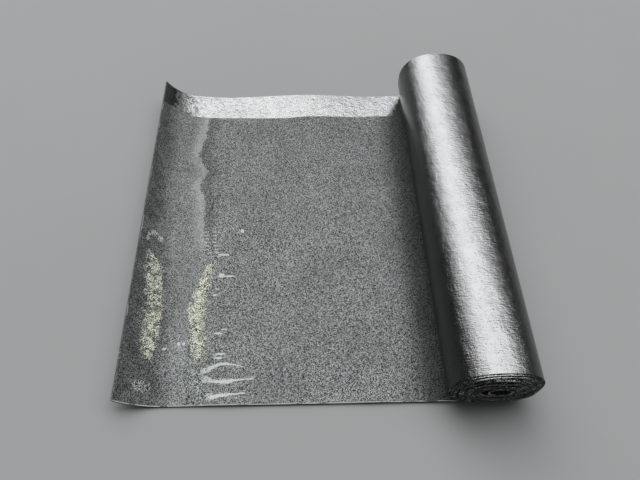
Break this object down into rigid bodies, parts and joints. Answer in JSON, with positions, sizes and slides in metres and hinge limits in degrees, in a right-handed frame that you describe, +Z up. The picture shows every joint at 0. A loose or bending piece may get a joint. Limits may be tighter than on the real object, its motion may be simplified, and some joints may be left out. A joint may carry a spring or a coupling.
{
  "type": "roll of roofing felt",
  "caption": "Roll of mineral-faced bitumen roofing felt, sagged and partly unrolled, with its free end curling up and a smooth bare lap edge along one side.",
  "frame": {"origin": "on the ground, under the middle of the felt's bounding box", "axes": "+Z up; +Y along the roll, from its near end to the end beside the bare lap edge; the laid felt reaches towards -X from the roll"},
  "size_m": [0.9472, 1, 0.178],
  "materials": {
    "bitumen_felt": "charcoal mineral granules on the upper face, shiny black film on the other face and on the bare lap edge"
  },
  "bodies": {
    "root": {"roofing_felt": "bitumen_felt"}
  },
  "joints": []
}
